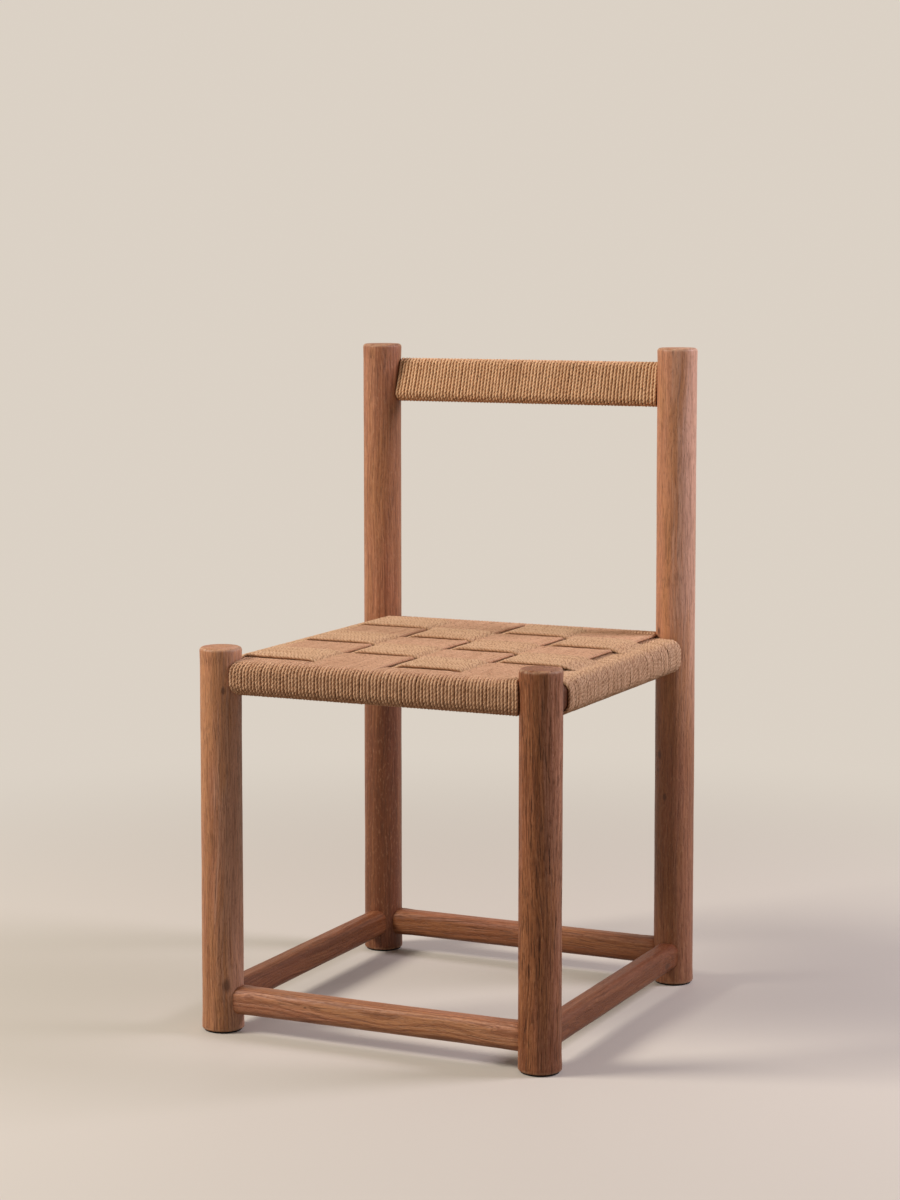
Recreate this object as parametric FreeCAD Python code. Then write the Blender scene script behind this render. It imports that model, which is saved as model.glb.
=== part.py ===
import FreeCAD, Part
import math
import os

# Stool with a low backrest: round legs and posts, low stretchers, a woven cord seat
# and a cord-wound backrest. Millimetres. +X is right seen from the front, +Y is back,
# +Z is up, and the origin is on the floor under the middle of the four legs.

Vector = FreeCAD.Vector
ORIGIN = Vector(0, 0, 0)
ALONG_X = Vector(1, 0, 0)
ALONG_Y = Vector(0, 1, 0)
UP = Vector(0, 0, 1)

# Legs and posts
LEG_D = 48.0  # front legs and back posts
LEG_SPACING_X = 393.0  # between leg axes, left to right
LEG_SPACING_Y = 411.0  # between leg axes, front to back
LEG_ABOVE_RAIL = 17.0  # from the front rail's top to a front leg's top
BACK_POST_TOP = 770.0  # above the floor
TOP_ROUND = 3.0  # rounded rim of a leg's top
FOOT_ROUND = 2.0  # rounded rim of a leg's foot
PAD_THICKNESS = 2.0  # pad under each foot
PAD_INSET = 0.5  # from the rounded rim in to the pad's edge

# Stretchers
STRETCHER_W = 27.0
STRETCHER_H = 32.0
STRETCHER_ROUND = 10.0
STRETCHER_RISE = 20.5  # from the floor to the stretchers' undersides

# Seat rails
RAIL_W = 27.0
RAIL_H = 32.0
RAIL_ROUND = 10.0
RAIL_TOP = 423.0  # top of the front and back rails, above the floor

# Joints in the wood
TENON_D = 16.0  # round tenons of stretchers and seat rails
MORTISE_WALL = 2.0  # wood left between two mortises that meet at a right angle
TENON_END_GAP = 0.5  # room for glue at the end of a tenon
JOINT_CLEARANCE = 0.15  # round a tenon and at its shoulder

# Backrest rail
BACKREST_T = 15.0
BACKREST_H = 46.0
BACKREST_ROUND = 5.0
POST_ABOVE_BACKREST = 21.5  # from the rail's top edge, upright, to a post's top
BACKREST_SETBACK = 4.7  # from the post axes back to the rail's centre
BACKREST_TILT = 13.0  # degrees, top towards the back
FLAT_TENON_CHEEK = 3.0  # rail's thickness left on each side of its tenon
FLAT_TENON_SHOULDER = 8.0  # rail's height left above and below its tenon
FLAT_TENON_LENGTH = 14.0  # into the post

# Cord
CORD_D = 3.8
CORD_SEAT = 0.2  # between cord and wood
CORD_SPACE = 0.47  # between two turns on the backrest
WINDING_END_GAP = 1.9  # from a post to the backrest's first turn
WINDING_LENGTHS = 4  # lengths of cord that follow each other on the backrest
TUCK = 8.0  # from the backrest's middle line to the hole that a cord's end goes into

# Woven seat
WARP_BANDS = 4  # front to back
WEFT_BANDS = 5  # left to right
WEAVE_CLEARANCE = 0.3  # between bands that cross
BAND_BEND_MARGIN = 0.5  # bend radius of a band's middle line, beyond half its thickness
STEP_ANGLE = 60.0  # degrees, slope of a band between over and under
WARP_END_GAP = 1.1  # from a leg to the first warp band, at the rail's outer face
WEFT_FRONT_GAP = 13.0  # from a front leg to the first weft band, at the rail's outer face
WEFT_BACK_GAP = 2.0  # from a back post to the last weft band, at the rail's outer face

# Working values
ROUND_LIMIT = 0.48  # largest edge rounding, as a share of a bar's thinner side
SAME = 0.01  # two places or directions that differ by less are taken as one
GAP_STEP = 0.6  # between the points that the winding's gap is measured on


def edge_round(rounding, width, height):
    """Rounding of a bar's long edges, held back by the bar's thinner side."""
    return min(rounding, ROUND_LIMIT * min(width, height))


# Worked out from the sizes above
LEG_R = LEG_D / 2
HALF_X = LEG_SPACING_X / 2
HALF_Y = LEG_SPACING_Y / 2
STRETCHER_Z = STRETCHER_RISE + STRETCHER_H / 2  # heights are of the bars' middle lines
FRONT_RAIL_Z = RAIL_TOP - RAIL_H / 2
FRONT_LEG_TOP = RAIL_TOP + LEG_ABOVE_RAIL
BACKREST_Z = BACK_POST_TOP - POST_ABOVE_BACKREST - BACKREST_H / 2
MORTISE_FLOOR = TENON_D / 2 + MORTISE_WALL  # from the leg's axis
BAND_LIFT = CORD_D + WEAVE_CLEARANCE  # between a band's over and under levels
SIDE_RAIL_Z = FRONT_RAIL_Z - BAND_LIFT  # the weft starts one level under the warp
BAND_OFFSET = CORD_SEAT + CORD_D / 2  # from a rail's face to the middle of a band
BAND_BEND = CORD_D / 2 + BAND_BEND_MARGIN
STEP_SLOPE = math.radians(STEP_ANGLE)
STEP_RUN = (BAND_LIFT - 2 * BAND_BEND * (1 - math.cos(STEP_SLOPE))) / math.sin(STEP_SLOPE)
BAND_GAP = 2 * BAND_BEND * math.sin(STEP_SLOPE) + STEP_RUN * math.cos(STEP_SLOPE)
CORD_PITCH = CORD_D + CORD_SPACE
TUCK_BEND = CORD_D  # bend of a cord's end into its hole
RAIL_CORNER = edge_round(RAIL_ROUND, RAIL_W, RAIL_H)
RAIL_FACE = RAIL_W / 2 + CORD_SEAT + CORD_D  # from a rail's axis to the cord's outer face
LEG_CHORD = math.sqrt(max(LEG_R**2 - RAIL_FACE**2, 0))  # half of a leg's width at that face

LEGS = {
    "front_left_leg": (-1, -1, FRONT_LEG_TOP),
    "front_right_leg": (1, -1, FRONT_LEG_TOP),
    "back_left_post": (-1, 1, BACK_POST_TOP),
    "back_right_post": (1, 1, BACK_POST_TOP),
}


def rounded_bar(length, width, height, corner):
    """Bar along X, centred on the origin, with its four long edges rounded."""
    start = Vector(-length / 2, -width / 2, -height / 2)
    bar = Part.makeBox(length, width, height, start)
    long_edges = [edge for edge in bar.Edges if abs(edge.tangentAt(edge.FirstParameter).x) > 1 - SAME]
    return bar.makeFillet(edge_round(corner, width, height), long_edges)


def upright(x, y, radius, bottom, top):
    return Part.makeCylinder(radius, top - bottom, Vector(x, y, bottom), UP)


def all_uprights(clearance):
    """The four legs as plain cylinders, fatter by a clearance, to cut what meets them."""
    cylinders = []
    for side_x, side_y, top in LEGS.values():
        cylinders.append(upright(side_x * HALF_X, side_y * HALF_Y, LEG_R + clearance, 0, top))
    return Part.makeCompound(cylinders)


def tenoned_bar(spacing, width, height, corner):
    """Bar along X between two legs: ends hollowed to sit on the legs, round tenons inside them."""
    bar = rounded_bar(spacing, width, height, corner)
    for side in (-1, 1):
        bar = bar.cut(upright(side * spacing / 2, 0, LEG_R + JOINT_CLEARANCE, -height, height))
    tip = spacing / 2 - MORTISE_FLOOR - TENON_END_GAP
    tenons = Part.makeCylinder(TENON_D / 2, 2 * tip, Vector(-tip, 0, 0), ALONG_X)
    return bar.fuse(tenons).removeSplitter()


def cross_bar(side_y, height_z, width, height, corner):
    """Bar that runs left to right, at the front (-1) or the back (1)."""
    bar = tenoned_bar(LEG_SPACING_X, width, height, corner)
    bar.translate(Vector(0, side_y * HALF_Y, height_z))
    return bar


def side_bar(side_x, height_z, width, height, corner):
    """Bar that runs front to back, at the left (-1) or the right (1)."""
    bar = tenoned_bar(LEG_SPACING_Y, width, height, corner)
    bar.rotate(ORIGIN, UP, 90)
    bar.translate(Vector(side_x * HALF_X, 0, height_z))
    return bar


def mortise(x, y, z, inward):
    """Round blind hole in a leg, opening in the inward direction."""
    floor = Vector(x, y, z) + inward * MORTISE_FLOOR
    return Part.makeCylinder(TENON_D / 2 + JOINT_CLEARANCE, LEG_R, floor, inward)


def leg(side_x, side_y, top):
    x = side_x * HALF_X
    y = side_y * HALF_Y
    body = upright(x, y, LEG_R, PAD_THICKNESS, top)
    for height, rounding in ((top, TOP_ROUND), (PAD_THICKNESS, FOOT_ROUND)):
        rim = [edge for edge in body.Edges if edge.isClosed() and abs(edge.CenterOfMass.z - height) < SAME]
        body = body.makeFillet(rounding, rim)
    for z in (STRETCHER_Z, FRONT_RAIL_Z):
        body = body.cut(mortise(x, y, z, ALONG_X * -side_x))
    for z in (STRETCHER_Z, SIDE_RAIL_Z):
        body = body.cut(mortise(x, y, z, ALONG_Y * -side_y))
    if top > BACKREST_Z:
        body = body.cut(set_backrest(flat_tenons(JOINT_CLEARANCE)))
    return body


def foot_pad(side_x, side_y):
    radius = LEG_R - FOOT_ROUND - PAD_INSET
    return upright(side_x * HALF_X, side_y * HALF_Y, radius, 0, PAD_THICKNESS)


def set_backrest(shape):
    """Lean a shape made round the origin and set it between the back posts."""
    shape.rotate(ORIGIN, ALONG_X, -BACKREST_TILT)
    shape.translate(Vector(0, HALF_Y + BACKREST_SETBACK, BACKREST_Z))
    return shape


def flat_tenons(clearance):
    """Both backrest tenons as one bar along X. With a clearance it is the mortises' cutter."""
    end_gap = TENON_END_GAP if clearance else 0
    length = 2 * (HALF_X - LEG_R + FLAT_TENON_LENGTH + end_gap)
    thickness = BACKREST_T - 2 * FLAT_TENON_CHEEK + 2 * clearance
    height = BACKREST_H - 2 * FLAT_TENON_SHOULDER + 2 * clearance
    return Part.makeBox(length, thickness, height, Vector(-length / 2, -thickness / 2, -height / 2))


# Winding on the backrest. Its middle line goes round a rounded rectangle and moves on
# by one pitch in each turn. It starts and ends half way up the rail's back.
WIND_Y = BACKREST_T / 2 + CORD_SEAT + CORD_D / 2
WIND_Z = BACKREST_H / 2 + CORD_SEAT + CORD_D / 2
WIND_ROUND = edge_round(BACKREST_ROUND, BACKREST_T, BACKREST_H) + CORD_SEAT + CORD_D / 2
WIND_AROUND = 4 * WIND_Y + 4 * WIND_Z
WIND_SPAN = LEG_SPACING_X - LEG_D - 2 * WINDING_END_GAP - CORD_D
WIND_TURNS = int(WIND_SPAN / CORD_PITCH)
WIND_START_X = -WIND_TURNS * CORD_PITCH / 2
HOLE_END_Y = WIND_Y - TUCK_BEND - CORD_D  # a cord's end runs straight for one diameter in its hole


def turns_before(index):
    """How many turns lie to the left of one length of the backrest's cord."""
    share, left_over = divmod(WIND_TURNS, WINDING_LENGTHS)
    return index * share + min(index, left_over)


def winding_x(turn, gone):
    """Place along the rail after some whole turns and a way gone round in the next one."""
    return WIND_START_X + CORD_PITCH * (turn + gone / WIND_AROUND)


def tuck_places(index):
    """X of the holes where one length of cord starts and ends."""
    start = winding_x(turns_before(index), TUCK)
    end = winding_x(turns_before(index + 1) - 1, WIND_AROUND - TUCK)
    return start, end


def winding_corners(index):
    """Corner points of one length of cord, from hole to hole, with the bend at each corner."""
    start, end = tuck_places(index)
    points = [Vector(start, HOLE_END_Y, -TUCK), Vector(start, WIND_Y, -TUCK)]
    bends = [0, TUCK_BEND]
    ways = [WIND_Z, WIND_Z + 2 * WIND_Y, 3 * WIND_Z + 2 * WIND_Y, 3 * WIND_Z + 4 * WIND_Y]
    corners = [(WIND_Y, -WIND_Z), (-WIND_Y, -WIND_Z), (-WIND_Y, WIND_Z), (WIND_Y, WIND_Z)]
    for turn in range(turns_before(index), turns_before(index + 1)):
        for way, (y, z) in zip(ways, corners):
            points.append(Vector(winding_x(turn, way), y, z))
            bends.append(WIND_ROUND)
    points += [Vector(end, WIND_Y, TUCK), Vector(end, HOLE_END_Y, TUCK)]
    bends += [TUCK_BEND, 0]
    return points, bends


def rounded_path(points, bends):
    """Straight runs through the points, with each corner rounded by an arc that touches both runs."""
    edges = []
    here = points[0]
    for before, corner, after, bend in zip(points, points[1:], points[2:], bends[1:]):
        back = (before - corner).normalize()
        on = (after - corner).normalize()
        half_angle = back.getAngle(on) / 2
        reach = bend / math.tan(half_angle)
        first = corner + back * reach
        last = corner + on * reach
        middle_line = (back + on).normalize()
        middle = corner + middle_line * (bend / math.sin(half_angle) - bend)
        edges.append(Part.LineSegment(here, first).toShape())
        edges.append(Part.Arc(first, middle, last).toShape())
        here = last
    edges.append(Part.LineSegment(here, points[-1]).toShape())
    return Part.Wire(edges)


def least_gap(path):
    """Least free space between two stretches of the cord that are more than half a turn apart."""
    points = path.discretize(Number=int(path.Length / GAP_STEP))
    apart = int(WIND_AROUND / 2 / GAP_STEP)
    least = path.Length
    for index, point in enumerate(points):
        for other in points[index + apart:index + 3 * apart]:
            least = min(least, point.distanceToPoint(other))
    return least - CORD_D


def backrest_cord(index):
    path = rounded_path(*winding_corners(index))
    start_edge = path.Edges[0]
    outward = start_edge.tangentAt(start_edge.FirstParameter)
    circle = Part.makeCircle(CORD_D / 2, start_edge.valueAt(start_edge.FirstParameter), outward)
    cord = path.makePipeShell([Part.Wire(circle)], True, False)
    turns = turns_before(index + 1) - turns_before(index)
    tube_volume = math.pi * CORD_D**2 / 4 * path.Length
    print("backrest cord", index + 1, "turns", turns, "length", round(path.Length),
          "least gap", round(least_gap(path), 3), "volume share", round(cord.Volume / tube_volume, 4))
    return set_backrest(cord)


def cord_hole(x, side):
    """Blind hole for a cord's end, with a mouth on the side that the cord comes from."""
    radius = CORD_D / 2 + CORD_SEAT
    floor = HOLE_END_Y - TENON_END_GAP
    hole = Part.makeCylinder(radius, BACKREST_T, Vector(x, floor, side * TUCK), ALONG_Y)
    mouth_floor = WIND_Y - TUCK_BEND
    low = min(side * TUCK, side * (TUCK + TUCK_BEND))
    mouth = Part.makeBox(2 * radius, BACKREST_T, TUCK_BEND, Vector(x - radius, mouth_floor, low))
    return hole.fuse(mouth)


def backrest_rail():
    rail = set_backrest(rounded_bar(LEG_SPACING_X, BACKREST_T, BACKREST_H, BACKREST_ROUND))
    rail = rail.cut(all_uprights(JOINT_CLEARANCE))
    rail = rail.fuse(set_backrest(flat_tenons(0))).removeSplitter()
    for index in range(WINDING_LENGTHS):
        start, end = tuck_places(index)
        rail = rail.cut(set_backrest(cord_hole(start, -1)))
        rail = rail.cut(set_backrest(cord_hole(end, 1)))
    return rail


# Woven seat. Each band is a belt of cord round two rails. Its middle line is a list of
# moves, each one a straight run followed by a turn (degrees, left is positive) of a radius.


def belt_edge(moves, start, side):
    """Closed wire in the YZ plane that keeps a distance to the left of the moves' line."""
    edges = []
    heading = 0
    point = start + UP * side
    for run, turn, radius in moves:
        direction = Vector(0, math.cos(math.radians(heading)), math.sin(math.radians(heading)))
        left = Vector(0, -direction.z, direction.y)
        corner = point + direction * run
        edges.append(Part.LineSegment(point, corner).toShape())
        sign = math.copysign(1, turn)
        arm = left * -(radius * sign - side)
        centre = corner - arm
        turn_by = [FreeCAD.Rotation(ALONG_X, share * turn) for share in (0.5, 1)]
        middle, point = [centre + rotation.multVec(arm) for rotation in turn_by]
        edges.append(Part.Arc(corner, middle, point).toShape())
        heading += turn
    return Part.Wire(edges)


def woven_moves(levels, crossings, start, end, level, facing):
    """Moves of one run from rail to rail that changes level between the bands it crosses.

    levels has 1 (over) or -1 (under) for each crossing, crossings their near and far edges,
    and facing is 1 on the seat's top and -1 on its underside, which is run backwards.
    """
    moves = []
    here = start
    now = level
    places = [near - facing * BAND_GAP for near, far in crossings]
    places.append(crossings[-1][1])
    for place, wanted in zip(places, levels + [level]):
        if wanted != now:
            turn = math.copysign(STEP_ANGLE, facing * (wanted - now))
            moves.append((abs(place - here), turn, BAND_BEND))
            moves.append((STEP_RUN, -turn, BAND_BEND))
            here = place + facing * BAND_GAP
            now = wanted
    return moves, abs(end - here)


def belt(levels, crossings, reach, rail_z, level, width):
    """Belt of one band along Y, centred on X = 0, round rails whose axes are at -reach and reach."""
    corner = RAIL_CORNER + BAND_OFFSET
    flat = reach + RAIL_W / 2 - RAIL_CORNER
    upright_run = RAIL_H - 2 * RAIL_CORNER
    under = [(far, near) for near, far in reversed(crossings)]
    top, top_rest = woven_moves(levels, crossings, -flat, flat, level, 1)
    bottom, bottom_rest = woven_moves(levels[::-1], under, flat, -flat, level, -1)
    round_back = [(top_rest, -90, corner), (upright_run, -90, corner)]
    round_front = [(bottom_rest, -90, corner), (upright_run, -90, corner)]
    moves = top + round_back + bottom + round_front
    start = Vector(-width / 2, -flat, rail_z + RAIL_H / 2 + BAND_OFFSET)
    outer = Part.Face(belt_edge(moves, start, CORD_D / 2))
    inner = Part.Face(belt_edge(moves, start, -CORD_D / 2))
    return outer.cut(inner).extrude(ALONG_X * width)


def band_places(first, last, count):
    """Near and far edges of bands that share a stretch evenly, a step's length apart."""
    pitch = (last - first + BAND_GAP) / count
    return [(first + index * pitch, first + (index + 1) * pitch - BAND_GAP) for index in range(count)]


WARP_EDGE = HALF_X - LEG_CHORD - WARP_END_GAP
WARP_PLACES = band_places(-WARP_EDGE, WARP_EDGE, WARP_BANDS)
WEFT_FIRST = -(HALF_Y - LEG_CHORD - WEFT_FRONT_GAP)
WEFT_LAST = HALF_Y - LEG_CHORD - WEFT_BACK_GAP
WEFT_PLACES = band_places(WEFT_FIRST, WEFT_LAST, WEFT_BANDS)


def weft_is_over(warp_index, weft_index):
    return (warp_index + weft_index) % 2 == 0


def warp_band(index):
    levels = [-1 if weft_is_over(index, weft) else 1 for weft in range(WEFT_BANDS)]
    near, far = WARP_PLACES[index]
    band = belt(levels, WEFT_PLACES, HALF_Y, FRONT_RAIL_Z, 1, far - near)
    band.translate(Vector((near + far) / 2, 0, 0))
    return band.cut(all_uprights(CORD_SEAT))


def weft_band(index):
    levels = [1 if weft_is_over(warp, index) else -1 for warp in range(WARP_BANDS)]
    near, far = WEFT_PLACES[index]
    band = belt(levels, WARP_PLACES, HALF_X, SIDE_RAIL_Z, -1, far - near)
    band.rotate(ORIGIN, UP, -90)
    band.translate(Vector(0, (near + far) / 2, 0))
    return band.cut(all_uprights(CORD_SEAT))


def build():
    parts = {}
    for name, (side_x, side_y, top) in LEGS.items():
        parts[name] = leg(side_x, side_y, top)
        corner = name.rsplit("_", 1)[0]
        parts[corner + "_foot_pad"] = foot_pad(side_x, side_y)
    for side, name in ((-1, "front"), (1, "back")):
        parts[name + "_stretcher"] = cross_bar(side, STRETCHER_Z, STRETCHER_W, STRETCHER_H, STRETCHER_ROUND)
        parts[name + "_seat_rail"] = cross_bar(side, FRONT_RAIL_Z, RAIL_W, RAIL_H, RAIL_ROUND)
    for side, name in ((-1, "left"), (1, "right")):
        parts[name + "_stretcher"] = side_bar(side, STRETCHER_Z, STRETCHER_W, STRETCHER_H, STRETCHER_ROUND)
        parts[name + "_seat_rail"] = side_bar(side, SIDE_RAIL_Z, RAIL_W, RAIL_H, RAIL_ROUND)
    parts["backrest_rail"] = backrest_rail()
    for index in range(WINDING_LENGTHS):
        parts["backrest_cord_" + str(index + 1)] = backrest_cord(index)
    for index in range(WARP_BANDS):
        parts["seat_warp_band_" + str(index + 1)] = warp_band(index)
    for index in range(WEFT_BANDS):
        parts["seat_weft_band_" + str(index + 1)] = weft_band(index)
    return parts


os.makedirs("parts", exist_ok=True)
for node, shape in build().items():
    shape.exportStep("parts/" + node + ".step")
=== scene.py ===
import math

import bpy
import numpy as np
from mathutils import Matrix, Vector


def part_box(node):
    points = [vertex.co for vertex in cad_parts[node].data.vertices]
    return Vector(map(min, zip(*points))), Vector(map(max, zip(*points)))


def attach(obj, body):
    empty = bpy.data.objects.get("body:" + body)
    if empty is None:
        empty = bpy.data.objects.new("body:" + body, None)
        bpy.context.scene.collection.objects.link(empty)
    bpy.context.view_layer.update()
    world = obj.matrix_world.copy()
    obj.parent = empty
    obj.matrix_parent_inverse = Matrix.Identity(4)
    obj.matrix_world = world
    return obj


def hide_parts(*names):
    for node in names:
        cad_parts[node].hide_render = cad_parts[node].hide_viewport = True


# Looks of the stool with a backrest: oiled wood bars, a woven seat of two-ply cord and
# a cord-wound backrest. Metres. +X is right seen from the front, +Y is back, +Z is up.

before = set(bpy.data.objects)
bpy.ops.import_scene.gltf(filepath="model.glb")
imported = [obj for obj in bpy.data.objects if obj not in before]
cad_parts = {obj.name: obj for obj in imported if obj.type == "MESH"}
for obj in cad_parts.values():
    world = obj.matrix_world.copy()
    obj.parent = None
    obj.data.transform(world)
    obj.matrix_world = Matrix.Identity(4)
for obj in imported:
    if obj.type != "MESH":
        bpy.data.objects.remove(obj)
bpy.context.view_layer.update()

# Wood
LEG_SIDES = 128
RING_LENGTH = 0.006  # between two cross-sections of a bar
TOP_ROUND = 0.004
FOOT_ROUND = 0.002
STRETCHER_SIDES = 84
STRETCHER_ROUND = 0.010
COPE_REST = 0.0004  # by which a stretcher's hollowed end sits in the leg's weathered surface
COPE_REACH = 0.016  # end stretch of a bar that follows the leg's curve
END_SOFTENING = 0.0009  # worn edge of a stretcher's end
END_FADE = 0.02  # stretch at a bar's ends over which its relief fades away
UNEVENNESS = 0.0007  # depth of a bar's slow swells
SWELL_STOPS = (0.2, 0.8)  # values of the noise at which a swell starts and is full
GROOVE_STOPS = (0.2, 0.6)
STRETCHER_GROOVE = 0.0003  # depth of the grooves along the grain
GROOVE_SHADE = 800  # from a leg's groove depth to how strongly its grooves show
PAD_SIDES = 64
FELT_EDGE = 0.0005

# Cord
CORD_RADIUS = 0.00203  # over the plies
CORD_OFFSET = 0.0021  # from wood to the cord's middle line
WAIST_RADIUS = 0.00146  # in the hollow between the plies
PLY_ANGLE = math.radians(48)  # half of the angle over which a ply is full
TWIST = 0.0092  # length of one full turn of the two plies
CORD_STEP = 0.00166  # between two cross-sections of a cord
ROUTE_STEPS = 10  # points read from a route between two of its control points
CORD_WANDER = 0.00010  # how far a cord strays from its place here and there
WARP_STRAY = 0.00018  # how far a whole turn of cord lies from its place
WEFT_STRAY = 0.00042
WARP_BUNCHING = 0.06  # largest share by which small groups of turns draw together on a rail
WEFT_BUNCHING = 0.34
TWIST_WANDER = 1.3  # angle by which the twist runs ahead or behind over each SLACK_LENGTH
SLACK_LENGTH = 0.11
PLUMPNESS = 0.035  # largest share by which a cord is thicker or thinner here and there
PLUMP_LENGTH = 0.02

# Seat
RAIL_ROUND = 0.010
WARP_BANDS = 4
WEFT_BANDS = 5
WARP_CORDS = 21  # cords of one band, front to back
WEFT_CORDS = 17  # cords of one band, left to right
STEP_EASE = 0.0035  # level stretch on each side of a step between over and under
WARP_SWAY = 0.0003  # how far the warp gives way to the weft under the seat, up and down
WARP_DIP = 0.0010  # how far the warp goes down where the weft crosses over it
WARP_CLEAR = 0.0008  # room between it and the weft there
WARP_SINK_LEFT = 0.0022  # by which the weft presses a warp band's left edge further down
WARP_SINK_RIGHT = 0.0006
WARP_LIP = 0.0005  # by which the weft that comes out from under a warp band lifts its right edge
EDGE_CORDS = 3.5  # cords at a band's edge that are pressed down or lifted
WEFT_LAG = 0.0030  # how much later than the gap a weft cord starts to climb
WEFT_CLIMB = 0.018  # from the gap to where it is fully up
WEFT_BOW = 0.008  # end stretch over which it bends down before the next gap
WEFT_DIP = 0.0016  # by which it is down at that gap
WEFT_DIVE = 0.0030  # how far it is still going down under the next warp band
WEFT_RISE = 0.0045  # how much later than the gap a weft cord comes up under the seat
WARP_SQUEEZE = 0.0046  # by which the weft pushes a warp band's left edge aside
RAIL_LEAD = 0.013  # slope between a rail and the first crossing
WEFT_ON_RAIL = (-0.165, 0.1802)  # the weft on its rails, clear of the front legs and against the posts
LEG_SQUEEZE = 0.065  # stretch of cords that gives way to a leg
LEG_ROOM = 0.001  # kept free round a leg
TAIL_IN = 0.034  # how far a cord's tucked end lies inside the seat
TAIL_UP = 0.012
TONES_IN_LOOP = 3  # changes of a cord's tone in one loop

# Backrest
BACKREST_TILT = math.radians(13)  # top towards the back
BACKREST_TURNS = (20, 20, 20, 19)
BACKREST_PITCH = 0.00434
BACKREST_ROUND = 0.005
BACKREST_T = 0.015
BACKREST_H = 0.046
TUCK = 0.0023  # from the backrest's middle line to where a cord's end goes in
TUCK_BEND = 0.004
END_SPREAD = 0.09  # stretch over which the turns spread to meet the round posts

# View of the photograph, whose image is 900 x 1200
IMAGE_HEIGHT = 1200
FOCAL_PIXELS = 2751.3
EYE_LEVEL_PIXEL = 500  # height in the image of the camera's straight-ahead line
CAMERA_PLACE = (1.3412, -2.8845, 0.8766)
CAMERA_TURN = math.radians(25.05)
CAMERA_DIP = math.radians(5.027)
SENSOR = 36

# Linear colours
WOOD_PALE = (0.525, 0.233, 0.103, 1)
WOOD_MID = (0.34, 0.130, 0.051, 1)
# deepest grain colour, and also the colour that the painted shade low on the legs and posts darkens towards
WOOD_DEEP = (0.165, 0.048, 0.015, 1)
# colour of the pores, and also of the painted shade on the hidden side rails
WOOD_PORE_AND_SHADE = (0.065, 0.020, 0.007, 1)
WOOD_WORN = (0.56, 0.34, 0.20, 1)
# painted sheen: a paler, rosier colour that stands in for light reflected onto a bar's right side
WOOD_PAINTED_SHEEN = (0.70, 0.405, 0.285, 1)
WOOD_DRY = (0.58, 0.310, 0.165, 1)
WOOD_ROSE = (1.0, 0.96, 1.12, 1)  # tint of the rosier patches
WEFT_PALE = (0.69, 0.453, 0.285, 1)
WEFT_STRAW = (0.54, 0.318, 0.180, 1)
WARP_PALE = (0.735, 0.457, 0.281, 1)
WARP_STRAW = (0.54, 0.301, 0.168, 1)
# Painted light: the backrest's cord is the seat's straw made paler and brighter, in place of more light on
# its front
BACKREST_PALE_PAINTED_LIGHT = (0.88, 0.560, 0.330, 1)
BACKREST_STRAW_PAINTED_LIGHT = (0.70, 0.400, 0.215, 1)
# dark flecks of the straw, and also the painted shade in the hollow between the plies
STRAW_FLECK_AND_SHADE = (0.24, 0.095, 0.040, 1)
FELT = (0.020, 0.018, 0.017, 1)
FELT_PALE = (0.055, 0.050, 0.046, 1)
FLOOR = (0.62, 0.565, 0.495, 1)
FLOOR_BOUNCE = (0.24, 0.20, 0.16, 1)
BACKDROP = (0.71, 0.64, 0.56, 1)

rng = np.random.default_rng(31)


# Shader expressions

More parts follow.
